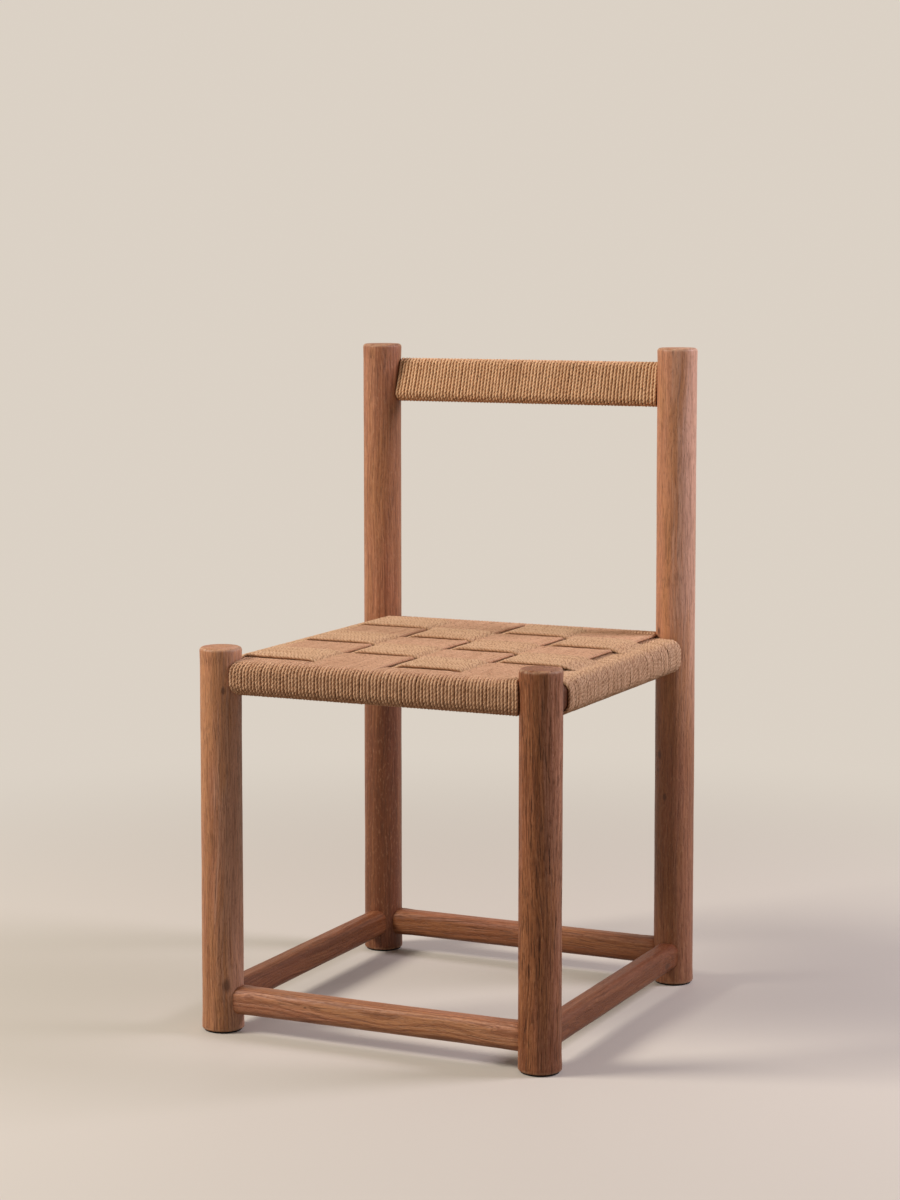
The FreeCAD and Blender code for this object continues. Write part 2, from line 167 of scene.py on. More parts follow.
class Shade:
    """One output socket of a node tree, with the operators that shader maths needs."""

    def __init__(self, tree, socket=None):
        self.tree = tree
        self.socket = socket

    def node(self, kind, settings=None, sockets=None, output=0):
        """A new node: its settings first, then the values or links of its sockets."""
        made = self.tree.nodes.new(kind)
        for name, value in (settings or {}).items():
            if name == "stops":
                for stop, (position, colour) in zip(made.color_ramp.elements, value):
                    stop.position = position
                    stop.color = colour
            else:
                setattr(made, name, value)
        for name, value in (sockets or {}).items():
            if isinstance(value, Shade):
                self.tree.links.new(value.socket, made.inputs[name])
            else:
                made.inputs[name].default_value = value
        return Shade(self.tree, made.outputs[output])

    def maths(self, operation, first, second=0.0):
        return self.node("ShaderNodeMath", {"operation": operation}, {0: first, 1: second})

    def __add__(self, other):
        return self.maths("ADD", self, other)

    def __radd__(self, other):
        return self.maths("ADD", other, self)

    def __sub__(self, other):
        return self.maths("SUBTRACT", self, other)

    def __rsub__(self, other):
        return self.maths("SUBTRACT", other, self)

    def __mul__(self, other):
        return self.maths("MULTIPLY", self, other)

    def __rmul__(self, other):
        return self.maths("MULTIPLY", other, self)

    def __truediv__(self, other):
        return self.maths("DIVIDE", self, other)

    def __pow__(self, other):
        return self.maths("POWER", self, other)

    def between(self, low, high):
        """0 under low, 1 over high, smooth in between. High may be the lower of the two."""
        settings = {"interpolation_type": "SMOOTHSTEP"}
        if low < high:
            return self.node("ShaderNodeMapRange", settings, {0: self, 1: low, 2: high, 3: 0.0, 4: 1.0})
        return self.node("ShaderNodeMapRange", settings, {0: self, 1: high, 2: low, 3: 1.0, 4: 0.0})

    def stretched(self, *scale):
        return self.node("ShaderNodeVectorMath", {"operation": "MULTIPLY"}, {0: self, 1: scale})

    def moved(self, other):
        return self.node("ShaderNodeVectorMath", {"operation": "ADD"}, {0: self, 1: other})

    def length(self):
        return self.node("ShaderNodeVectorMath", {"operation": "LENGTH"}, {0: self}, "Value")

    def distance(self, place):
        return self.node("ShaderNodeVectorMath", {"operation": "DISTANCE"}, {0: self, 1: place}, "Value")

    def noise(self, detail=3.0, output="Fac"):
        return self.node("ShaderNodeTexNoise", None, {"Vector": self, "Scale": 1.0, "Detail": detail}, output)

    def mixed(self, first, second):
        """Colour between two, by this value."""
        sockets = {"Factor": self, 6: first, 7: second}
        return self.node("ShaderNodeMix", {"data_type": "RGBA"}, sockets, 2)

    def tinted(self, colour, tint):
        """Colour multiplied by a tint, by this value."""
        sockets = {"Factor": self, 6: colour, 7: tint}
        return self.node("ShaderNodeMix", {"data_type": "RGBA", "blend_type": "MULTIPLY"}, sockets, 2)


def new_material(name):
    """An empty material, its node tree wrapped, and its surface shader."""
    material = bpy.data.materials.new(name)
    material.use_nodes = True
    shader = material.node_tree.nodes["Principled BSDF"]
    return material, Shade(material.node_tree), shader


def wire(shader, **sockets):
    """Link or set the sockets of a surface shader, an underscore standing for a space."""
    for name, value in sockets.items():
        socket = shader.inputs[name.replace("_", " ")]
        if isinstance(value, Shade):
            value.tree.links.new(value.socket, socket)
        else:
            socket.default_value = value


def bump(tree, height, strength, depth):
    sockets = {"Strength": strength, "Distance": depth, "Height": height}
    return tree.node("ShaderNodeBump", None, sockets, "Normal")


# Materials

TURN_OF_GRAIN = {"Z": (0, 0, 0), "X": (0, math.pi / 2, 0), "Y": (-math.pi / 2, 0, 0)}


def oiled_wood(name, grain, centre, look, rims=(), groove_depth=0.3):
    """Oiled open-grained hardwood. The tree's rings run round a pith beside the bar's middle."""
    material, tree, shader = new_material(name)
    pith, knots, figure = look["pith"], look.get("knots", ()), look["figure"]
    here = tree.node("ShaderNodeTexCoord", output="Object")
    settings = {"vector_type": "TEXTURE"}
    place = tree.node("ShaderNodeMapping", settings, {0: here, 1: centre, 2: TURN_OF_GRAIN[grain]})
    wander = place.stretched(9, 9, 3.2).moved(pith).noise(2.0, "Color")
    ripple = place.stretched(70, 70, 6).moved(pith).noise(2.0, "Color")
    waver = place.stretched(48, 48, 34).moved(pith).noise(2.0, "Color")
    grown = place.moved(wander.stretched(0.034, 0.034, 0)).moved(ripple.stretched(0.0030, 0.0030, 0))
    fine = grown.moved(waver.stretched(0.0022, 0.0022, 0))
    from_pith = grown.moved(pith).stretched(1, 1, 0).length()
    dark = 0
    for at, size in knots:
        knot = place.stretched(1, 1, 0.55).distance((at[0], at[1], at[2] * 0.55))
        from_pith = from_pith + knot.between(3.4 * size, 0) * size * 1.2
        dark = dark + knot.between(size, 0.35 * size)
    ring = tree.maths("SINE", from_pith * look["rings"])
    late = ring.between(-0.3, 1.0)
    broad = place.stretched(17, 17, 1.5).moved(pith).noise(2.0).between(0.30, 0.70)
    rosy = place.stretched(38, 38, 6).moved(pith).noise(2.0).between(0.40, 0.62)
    band = grown.stretched(85, 85, 2.4).moved(pith).noise(2.0).between(0.32, 0.70)
    streak = fine.stretched(320, 320, 6).moved(pith).noise(3.0).between(0.34, 0.68)
    line = fine.stretched(760, 760, 14).moved(pith).noise(2.0).between(0.46, 0.66)
    pore = fine.stretched(700, 700, 40).moved(pith).noise(2.0).between(0.54, 0.66)
    pit = fine.stretched(600, 600, 170).moved(pith).noise(3.0).between(0.53, 0.66)
    dry = fine.stretched(520, 520, 160).noise(3.0).between(0.54, 0.68)
    groove = fine.stretched(540, 540, 7.5).moved(pith).noise(2.0).between(0.39, 0.31)
    tone = late * look["late"] + band * 0.40 + streak * (0.14 + 0.24 * figure) + broad * 0.30
    tone = tone + look["depth"]
    # Painted shade: by look["low"], the tone deepens towards the bottom of the bar, standing in for the
    # seat's shadow on the lower legs and posts.
    lower = place.node("ShaderNodeSeparateXYZ", None, {0: place}, "Z").between(0.06, -0.12)
    if "low" in look:
        tone = tone + lower * look["low"]
    colour = tone.between(0.10, 1.0).mixed(WOOD_PALE, WOOD_MID)
    colour = tone.between(0.75, 1.8).mixed(colour, WOOD_DEEP)
    colour = rosy.tinted(colour, WOOD_ROSE)
    # Painted sheen: towards +X, the bar's right side, the colour turns paler and rosier in place of reflected
    # light from the right. It gives way where the painted shade under the seat lies.
    if "painted_right_sheen" in look:
        right = place.node("ShaderNodeSeparateXYZ", None, {0: place}, "X") + 0.014 * streak + 0.010 * rosy
        share = look["painted_right_sheen"] - lower * look.get("low", 0) * 0.8
        colour = (right.between(0.012, 0.034) * share).mixed(colour, WOOD_PAINTED_SHEEN)
    colour = (dry * look["dry"]).mixed(colour, WOOD_DRY)
    colour = (line * 0.50 * figure).mixed(colour, WOOD_DEEP)
    colour = (groove * (0.2 + groove_depth) * figure).mixed(colour, WOOD_PORE_AND_SHADE)
    colour = (pit * 0.40 * figure).mixed(colour, WOOD_DEEP)
    colour = (pore * 0.50 * figure).mixed(colour, WOOD_PORE_AND_SHADE)
    if knots:
        colour = (dark * 0.7).mixed(colour, WOOD_PORE_AND_SHADE)
    # Painted shade: by look["shade"], the whole surface is mixed towards the pore colour.
    if "shade" in look:
        sockets = {"Factor": look["shade"], 6: colour, 7: WOOD_PORE_AND_SHADE}
        colour = tree.node("ShaderNodeMix", {"data_type": "RGBA"}, sockets, 2)
    worn = 0
    for rim_radius, along in rims:
        across = place.stretched(1, 1, 0).length() - rim_radius
        up = place.node("ShaderNodeSeparateXYZ", None, {0: place}, "Z") - along
        near = (across * across + up * up) ** 0.5
        worn = worn + near.between(0.0036, 0.0004)
    if rims:
        patchy = place.stretched(190, 190, 190).noise(3.0).between(0.34, 0.66)
        colour = (worn * patchy * 0.6).mixed(colour, WOOD_WORN)
    relief = 0.5 - pore * 0.30 - groove * (0.25 + groove_depth) - line * 0.12 - pit * 0.30 + dry * 0.15
    rough = 0.46 + 0.14 * groove + 0.12 * dry
    wire(shader, Base_Color=colour, Roughness=rough, Normal=bump(tree, relief, 0.7, 0.0008))
    wire(shader, Specular_IOR_Level=look["gloss"])
    return material


def straw_cord(name, pale, middle, from_cord_to_cord, hollow_shade):
    """Two-ply twisted straw cord: fibres along the plies, painted shade in the hollow between them."""
    material, tree, shader = new_material(name)
    around = tree.node("ShaderNodeUVMap", {"uv_map": "cord_way"})
    tone = tree.node("ShaderNodeAttribute", {"attribute_name": "tone"}, output="Fac")
    hollow = tree.node("ShaderNodeAttribute", {"attribute_name": "hollow"}, output="Fac")
    fibre = around.stretched(210, 9, 1).noise(3.0).between(0.30, 0.70)
    stain = around.stretched(26, 0.7, 1).noise(3.0).between(0.32, 0.68)
    fleck = around.stretched(230, 3, 1).noise(2.0).between(0.53, 0.72)
    light = tone * from_cord_to_cord + fibre * 0.46 + stain * 0.26
    colour = light.between(0.06, 0.66 + from_cord_to_cord).mixed(middle, pale)
    colour = (fleck * 0.65).mixed(colour, STRAW_FLECK_AND_SHADE)
    # Painted shade in the hollow between the plies.
    colour = (hollow.between(0.25, 1.0) * hollow_shade).mixed(colour, STRAW_FLECK_AND_SHADE)
    rough = 0.62 + 0.22 * fibre
    wire(shader, Base_Color=colour, Roughness=rough, Normal=bump(tree, fibre, 0.5, 0.0004))
    wire(shader, Specular_IOR_Level=0.12)
    return material


def dark_felt():
    material, tree, shader = new_material("dark_felt")
    here = tree.node("ShaderNodeTexCoord", output="Object")
    fuzz = here.stretched(1900, 1900, 1900).noise(4.0)
    clump = here.stretched(260, 260, 260).noise(2.0)
    colour = (fuzz * 0.7 + clump * 0.3).between(0.35, 0.72).mixed(FELT, FELT_PALE)
    wire(shader, Base_Color=colour, Roughness=0.9 + 0.1 * clump, Normal=bump(tree, fuzz, 0.8, 0.0005))
    wire(shader, Specular_IOR_Level=0.15)
    return material


# Modelling helpers

def middle_of(node):
    low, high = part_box(node)
    return (low + high) / 2


def smoothly(value, low, high):
    """0 under low, 1 over high, smooth in between."""
    share = np.clip((value - low) / (high - low), 0, 1)
    return share * share * (3 - 2 * share)


def finish_piece(piece, material, slot, *nodes):
    """Material, riding body and the frame's nodes that a piece stands for."""
    piece.data.materials.clear()
    piece.data.materials.append(material)
    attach(piece, "root")
    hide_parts(*nodes)


def select_edges(mesh, wanted):
    """Select, in object mode, the edges whose two ends pass a test."""
    for edge in mesh.edges:
        edge.select = all(wanted(mesh.vertices[index].co) for index in edge.vertices)


def only_edges(piece, wanted):
    """Leave edit mode's selection on the edges that pass a test."""
    bpy.ops.mesh.select_all(action="DESELECT")
    bpy.ops.object.mode_set(mode="OBJECT")
    select_edges(piece.data, wanted)
    bpy.ops.object.mode_set(mode="EDIT")
    bpy.ops.mesh.select_mode(type="EDGE")


def new_cylinder(name, sides, radius, length):
    """A cylinder along Z round the origin, left in edit mode with edges to be picked."""
    bpy.ops.object.select_all(action="DESELECT")
    bpy.ops.mesh.primitive_cylinder_add(vertices=sides, radius=radius, depth=length, end_fill_type="NGON")
    piece = bpy.context.object
    piece.name = name
    piece.data.name = name
    bpy.ops.object.mode_set(mode="EDIT")
    bpy.ops.mesh.select_mode(type="EDGE")
    return piece


def round_rim(piece, height, rounding, segments):
    only_edges(piece, lambda place: abs(place.z - height) < 1e-5)
    bpy.ops.mesh.bevel(offset=rounding, segments=segments, profile=0.5, affect="EDGES")


def cut_across(piece, low, high, length):
    """Divide a bar's long edges into short ones."""
    bpy.ops.mesh.select_all(action="DESELECT")
    bpy.ops.object.mode_set(mode="OBJECT")
    for edge in piece.data.edges:
        ends = sorted(piece.data.vertices[index].co.z for index in edge.vertices)
        edge.select = ends[1] - ends[0] > (high - low) * 0.8
    bpy.ops.object.mode_set(mode="EDIT")
    bpy.ops.mesh.subdivide(number_cuts=int((high - low) / length))


def fade_to_ends(piece, half, fade):
    """Vertex group that is full along a bar and falls off to nothing at its ends."""
    group = piece.vertex_groups.new(name="away_from_ends")
    for vertex in piece.data.vertices:
        share = 1 - smoothly(abs(vertex.co.z), half - fade, half - TOP_ROUND)
        group.add([vertex.index], share, "REPLACE")


def weather(piece, grain_scale, size, strength, edges, seed):
    """Displace a bar's surface by noise that is drawn out along its grain."""
    texture = bpy.data.textures.new(piece.name + "_weather", "CLOUDS")
    texture.noise_scale = size
    texture.noise_depth = 2
    texture.use_color_ramp = True
    ramp = texture.color_ramp.elements
    for stop, position, value in zip(ramp, edges, (0, 1)):
        stop.position = position
        stop.color = (value, value, value, 1)
    guide = bpy.data.objects.new(piece.name + "_grain", None)
    bpy.context.collection.objects.link(guide)
    guide.scale = grain_scale
    guide.location = seed
    bpy.context.view_layer.update()
    modifier = piece.modifiers.new("weather", "DISPLACE")
    modifier.texture = texture
    modifier.texture_coords = "OBJECT"
    modifier.texture_coords_object = guide
    modifier.mid_level = 1.0
    modifier.strength = strength
    modifier.vertex_group = "away_from_ends"
    bpy.context.view_layer.objects.active = piece
    bpy.ops.object.modifier_apply(modifier=modifier.name)
    bpy.data.objects.remove(guide)
    bpy.data.textures.remove(texture)


def set_in_place(piece, turn, place):
    """Turn and move a finished piece, and keep its place in its mesh."""
    piece.rotation_euler = turn
    piece.location = place
    bpy.ops.object.select_all(action="DESELECT")
    piece.select_set(True)
    bpy.context.view_layer.objects.active = piece
    bpy.ops.object.transform_apply(location=True, rotation=True, scale=True)
    bpy.ops.object.shade_smooth_by_angle(angle=math.radians(40))


# Legs and posts

def leg(node, groove):
    """Round bar with softened rims and grooves along its grain."""
    low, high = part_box(node)
    centre = (low + high) / 2
    radius = (high.x - low.x) / 2
    half = (high.z - low.z) / 2
    piece = new_cylinder(node + "_wood", LEG_SIDES, radius, 2 * half)
    round_rim(piece, half, TOP_ROUND, 5)
    round_rim(piece, -half, FOOT_ROUND, 4)
    cut_across(piece, -half, half, RING_LENGTH)
    bpy.ops.object.mode_set(mode="OBJECT")
    seed = (centre.x * 3, centre.y * 2, 0)
    fade_to_ends(piece, half, END_FADE)
    weather(piece, (1, 1, 9), 0.045, UNEVENNESS, SWELL_STOPS, seed)
    weather(piece, (1, 1, 22), 0.0034, groove, GROOVE_STOPS, seed)
    set_in_place(piece, (0, 0, 0), centre)
    return piece, centre, radius, half


# In these looks, "low" deepens the tone towards the bottom as painted shade under the seat, and the paler
# right side is painted sheen.
LEG_LOOKS = {
    "front_left_leg": {"groove": 0.0004, "pith": (0.031, -0.021, 0.4), "rings": 2300, "depth": -0.16,
                       "figure": 0.62, "late": 0.2, "dry": 0.32, "gloss": 0.42, "painted_right_sheen": 0.5,
                       "knots": [((0.0155, -0.0185, -0.165), 0.006), ((0.0140, -0.0195, 0.172), 0.0035)]},
    "front_right_leg": {"groove": 0.0008, "pith": (-0.020, 0.044, 1.7), "rings": 2700, "depth": 0.54,
                        "low": 0.12, "figure": 1.2, "late": 0.25, "dry": 0.18, "gloss": 0.24,
                        "painted_right_sheen": 0.2},
    "back_left_post": {"groove": 0.0003, "pith": (0.028, 0.036, 2.9), "rings": 2200, "depth": 0.05,
                       "low": 0.85, "figure": 0.68, "late": 0.2, "dry": 0.30, "gloss": 0.42},
    "back_right_post": {"groove": 0.0003, "pith": (-0.034, -0.022, 4.3), "rings": 2400, "depth": -0.44,
                        "low": 0.80, "figure": 0.62, "late": 0.2, "dry": 0.28, "gloss": 0.42,
                        "painted_right_sheen": 0.75,
                        "knots": [((-0.012, -0.0205, -0.105), 0.0045), ((-0.004, -0.0235, -0.155), 0.0035),
                                  ((-0.0145, -0.0190, 0.045), 0.0035)]},
}


def make_legs():
    for node, look in LEG_LOOKS.items():
        piece, centre, radius, half = leg(node, look["groove"])
        rims = [(radius - TOP_ROUND / 3, half - TOP_ROUND / 3),
                (radius - FOOT_ROUND / 3, -half + FOOT_ROUND / 3)]
        finish = oiled_wood(node + "_finish", "Z", centre, look, rims, look["groove"] * GROOVE_SHADE)
        finish_piece(piece, finish, "frame_wood", node)


# Stretchers

def rounded_outline(share, width, height, corner):
    """Point on a rounded rectangle's outline, a share of the way round from the middle of its right side."""
    arc = math.pi / 2 * corner
    sides = [height / 2 - corner, arc, width - 2 * corner, arc, height - 2 * corner]
    sides += [arc, width - 2 * corner, arc, height / 2 - corner]
    left = share * sum(sides)
    x, y, heading = width / 2, 0.0, math.pi / 2
    for index, side in enumerate(sides):
        gone = min(left, side)
        if index % 2 == 0:
            x += gone * math.cos(heading)
            y += gone * math.sin(heading)
        else:
            turned = heading + gone / corner
            x += corner * (math.sin(turned) - math.sin(heading))
            y -= corner * (math.cos(turned) - math.cos(heading))
            heading = turned
        left -= gone
        if left <= 0:
            break
    return x, y


def stretcher(node, along, leg_radius):
    """Bar with rounded edges whose ends are hollowed to sit on the legs."""
    low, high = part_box(node)
    centre = (low + high) / 2
    size = high - low
    cross = 1 - along
    width, height = size[cross], size.z
    first_leg, last_leg = [middle_of(leg_node)[along] for leg_node in ("front_left_leg", "back_right_post")]
    half = (last_leg - first_leg) / 2 - leg_radius + COPE_REST
    piece = new_cylinder(node + "_wood", STRETCHER_SIDES, 1, 2 * half)
    bpy.ops.object.mode_set(mode="OBJECT")
    for vertex in piece.data.vertices:
        share = math.atan2(vertex.co.y, vertex.co.x) / math.tau % 1
        vertex.co.x, vertex.co.y = rounded_outline(share, width, height, STRETCHER_ROUND)
    bpy.ops.object.mode_set(mode="EDIT")
    for end in (-half, half):
        round_rim(piece, end, END_SOFTENING, 2)
    cut_across(piece, -half, half, RING_LENGTH)
    bpy.ops.mesh.select_all(action="DESELECT")
    bpy.ops.mesh.select_mode(type="FACE")
    bpy.ops.object.mode_set(mode="OBJECT")
    for face in piece.data.polygons:
        face.select = abs(face.normal.z) > 0.99
    bpy.ops.object.mode_set(mode="EDIT")
    bpy.ops.mesh.poke()
    bpy.ops.object.mode_set(mode="OBJECT")
    seed = tuple(centre * 5)
    fade_to_ends(piece, half, END_FADE)
    weather(piece, (1, 1, 9), 0.040, UNEVENNESS, SWELL_STOPS, seed)
    weather(piece, (1, 1, 20), 0.0036, STRETCHER_GROOVE, GROOVE_STOPS, seed)
    for vertex in piece.data.vertices:
        hollow = leg_radius - math.sqrt(leg_radius**2 - vertex.co.x**2)
        near_end = smoothly(abs(vertex.co.z), half - COPE_REACH, half)
        vertex.co.z += math.copysign(hollow * near_end, vertex.co.z)
    turn = (math.pi / 2, 0, math.pi / 2) if along == 0 else (math.pi / 2, 0, math.pi)
    set_in_place(piece, turn, centre)
    return piece, centre


STRETCHER_LOOKS = {
    "front_stretcher": {"along": 0, "pith": (0.003, -0.055, 0.9), "rings": 2400, "depth": 0.0,
                        "figure": 0.5, "late": 0.6, "dry": 0.20, "gloss": 0.42,
                        "knots": [((-0.0105, -0.0135, -0.156), 0.0020), ((-0.004, -0.0135, -0.084), 0.0016),
                                  ((-0.0095, -0.0135, 0.145), 0.0018)]},
    "back_stretcher": {"along": 0, "pith": (-0.030, 0.025, 2.2), "rings": 2100, "depth": 0.38,
                       "figure": 0.8, "late": 0.2, "dry": 0.12, "gloss": 0.3},
    "left_stretcher": {"along": 1, "pith": (0.028, 0.030, 3.1), "rings": 2200, "depth": 0.80,
                       "figure": 0.6, "late": 0.2, "dry": 0.16, "gloss": 0.26},
    "right_stretcher": {"along": 1, "pith": (0.036, -0.020, 4.6), "rings": 1900, "depth": 1.08,
                        "figure": 0.7, "late": 0.3, "dry": 0.16, "gloss": 0.24,
                        "knots": [((0.0125, 0.004, 0.150), 0.006)]},
}


def make_stretchers():
    low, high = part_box("front_left_leg")
    leg_radius = (high.x - low.x) / 2
    for node, look in STRETCHER_LOOKS.items():
        piece, centre = stretcher(node, look["along"], leg_radius)
        grain = "XY"[look["along"]]
        finish = oiled_wood(node + "_finish", grain, centre, look)
        finish_piece(piece, finish, "frame_wood", node)


def make_hidden_bars():
    """Seat rails and the backrest rail keep their own meshes and show only in the gaps of the cord, where
    their deep tone is painted shade.
    """
    cross_look = {"pith": (0.03, 0.02, 5.2), "rings": 2100, "depth": 1.0, "figure": 1.0,
                  "late": 0.2, "dry": 0.05, "gloss": 0.2}
    cross_wood = oiled_wood("cross_rail_finish", "X", (0, 0, 0), cross_look)
    # The side rails, seen in the deep gap beside the front legs, get still more painted shade.
    side_wood = oiled_wood("side_rail_finish", "Y", (0, 0, 0), dict(cross_look, depth=1.9, shade=0.8))
    for node, wood in (("front_seat_rail", cross_wood), ("back_seat_rail", cross_wood),
                       ("backrest_rail", cross_wood), ("left_seat_rail", side_wood),
                       ("right_seat_rail", side_wood)):
        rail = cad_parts[node]
        rail.data.materials.clear()
        rail.data.materials.append(wood)


def make_foot_pads():
    felt = dark_felt()
    for corner in ("front_left", "front_right", "back_left", "back_right"):
        node = corner + "_foot_pad"
        low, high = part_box(node)
        half = (high.z - low.z) / 2
        piece = new_cylinder(node + "_felt", PAD_SIDES, (high.x - low.x) / 2, 2 * half)
        round_rim(piece, half, FELT_EDGE, 2)
        round_rim(piece, -half, FELT_EDGE, 2)
        bpy.ops.object.mode_set(mode="OBJECT")
        set_in_place(piece, (0, 0, 0), (low + high) / 2)
        finish_piece(piece, felt, "foot_felt", node)


# Cord

def smooth_route(points):
    """Points read along a smooth spline that has the given control points."""
    curve = bpy.data.curves.new("route", "CURVE")
    curve.dimensions = "3D"
    spline = curve.splines.new("NURBS")
    spline.points.add(len(points) - 1)
    spline.points.foreach_set("co", np.column_stack([points, np.ones(len(points))]).ravel())
    spline.order_u = 3
    spline.use_endpoint_u = True
    spline.resolution_u = ROUTE_STEPS
    carrier = bpy.data.objects.new("route", curve)
    line = bpy.data.meshes.new_from_object(carrier)
    read = np.empty(len(line.vertices) * 3)
    line.vertices.foreach_get("co", read)
    bpy.data.objects.remove(carrier)
    bpy.data.curves.remove(curve)
    bpy.data.meshes.remove(line)
    return read.reshape(-1, 3)


PLY_ANGLES = np.array([-PLY_ANGLE, 0, PLY_ANGLE, math.pi / 2])
SECTION_ANGLES = np.concatenate([PLY_ANGLES, PLY_ANGLES + math.pi])
SECTION_RADII = np.array([CORD_RADIUS, CORD_RADIUS, CORD_RADIUS, WAIST_RADIUS] * 2)
SECTION_HOLLOW = np.array([0.0, 0.0, 0.0, 1.0] * 2)


def twisted_cord(name, control_points, side, turn_length):
    """A two-ply cord along a route: a two-lobed section that turns as it goes on.

    side is a direction that the route nowhere follows, and turn_length the length after
    which the cord's tone changes.
    """
    route = smooth_route(control_points)
    gone = np.concatenate([[0], np.cumsum(np.linalg.norm(np.diff(route, axis=0), axis=1))])
    count = int(gone[-1] / CORD_STEP)
    along = np.linspace(0, gone[-1], count)
    line = np.column_stack([np.interp(along, gone, route[:, axis]) for axis in range(3)])
    ahead = np.gradient(line, axis=0)
    ahead /= np.linalg.norm(ahead, axis=1)[:, None]
    over = side - ahead * (ahead @ side)[:, None]
    over /= np.linalg.norm(over, axis=1)[:, None]
    out = np.cross(over, ahead)
    swells = np.arange(0, gone[-1] + PLUMP_LENGTH, PLUMP_LENGTH)
    plump = 1 + PLUMPNESS * np.interp(along, swells, noise_line(gone[-1], PLUMP_LENGTH))
    marks = np.arange(0, gone[-1] + SLACK_LENGTH, SLACK_LENGTH)
    ahead_of = np.cumsum(rng.normal(0, TWIST_WANDER, len(marks)))
    turn = (along * math.tau / TWIST + np.interp(along, marks, ahead_of))[:, None] + SECTION_ANGLES
    reach = SECTION_RADII * plump[:, None]
    rings = line[:, None] + (reach * np.cos(turn))[..., None] * out[:, None]
    rings += (reach * np.sin(turn))[..., None] * over[:, None]
    turns = np.arange(0, gone[-1] + turn_length, turn_length)
    tone = np.interp(along, turns, tone_line(gone[-1], turn_length))
    return ring_mesh(name, rings, along, tone)


def noise_line(length, step):
    return rng.uniform(-1, 1, len(np.arange(0, length + step, step)))


def tone_line(length, step):
    return rng.uniform(0, 1, len(np.arange(0, length + step, step)))


def ring_mesh(name, rings, along, tone):
    """Closed tube through rings of points, with the way along and around it as a UV map."""
    count, sides = rings.shape[:2]
    corner = np.arange(count * sides).reshape(count, sides)
    near = corner[:-1]
    far = corner[1:]
    quads = np.stack([near, np.roll(near, -1, 1), np.roll(far, -1, 1), far], -1).reshape(-1)
    corners = np.concatenate([quads, corner[0, ::-1], corner[-1]])
    starts = np.concatenate([np.arange(0, len(quads), 4), [len(quads), len(quads) + sides]])
    mesh = bpy.data.meshes.new(name)
    mesh.vertices.add(count * sides)
    mesh.vertices.foreach_set("co", rings.reshape(-1))
    mesh.loops.add(len(corners))
    mesh.loops.foreach_set("vertex_index", corners)
    mesh.polygons.add(len(starts))
    mesh.polygons.foreach_set("loop_start", starts)
    mesh.update(calc_edges=True)
    mesh.shade_smooth()
    step = np.arange(sides) / sides
    after = step + 1 / sides
    up = np.broadcast_to(np.stack([step, after, after, step], -1), (count - 1, sides, 4))
    gone = np.stack([along[:-1], along[:-1], along[1:], along[1:]], -1)[:, None].repeat(sides, 1)
    way = np.stack([gone, up], -1).reshape(-1, 2)
    way = np.concatenate([way, np.zeros((2 * sides, 2))])
    mesh.uv_layers.new(name="cord_way").data.foreach_set("uv", way.reshape(-1))
    tones = mesh.attributes.new("tone", "FLOAT", "POINT")
    tones.data.foreach_set("value", np.repeat(tone, sides))
    hollows = mesh.attributes.new("hollow", "FLOAT", "POINT")
    hollows.data.foreach_set("value", np.tile(SECTION_HOLLOW, count))
    piece = bpy.data.objects.new(name, mesh)
    bpy.context.collection.objects.link(piece)
    return piece


def bunches(cords):
    """How far each cord moves, in places, as groups of two to seven draw together more or less."""
    moved = np.zeros(cords)
    first = 0
    while first < cords:
        after = min(first + rng.integers(2, 8), cords)
        tightness = rng.uniform() ** 2
        moved[first:after] = ((first + after - 1) / 2 - np.arange(first, after)) * tightness
        first = after
    return moved


CORNER_REACH = math.tan(math.radians(22.5))  # of a control point beyond a quarter bend's end, in radii


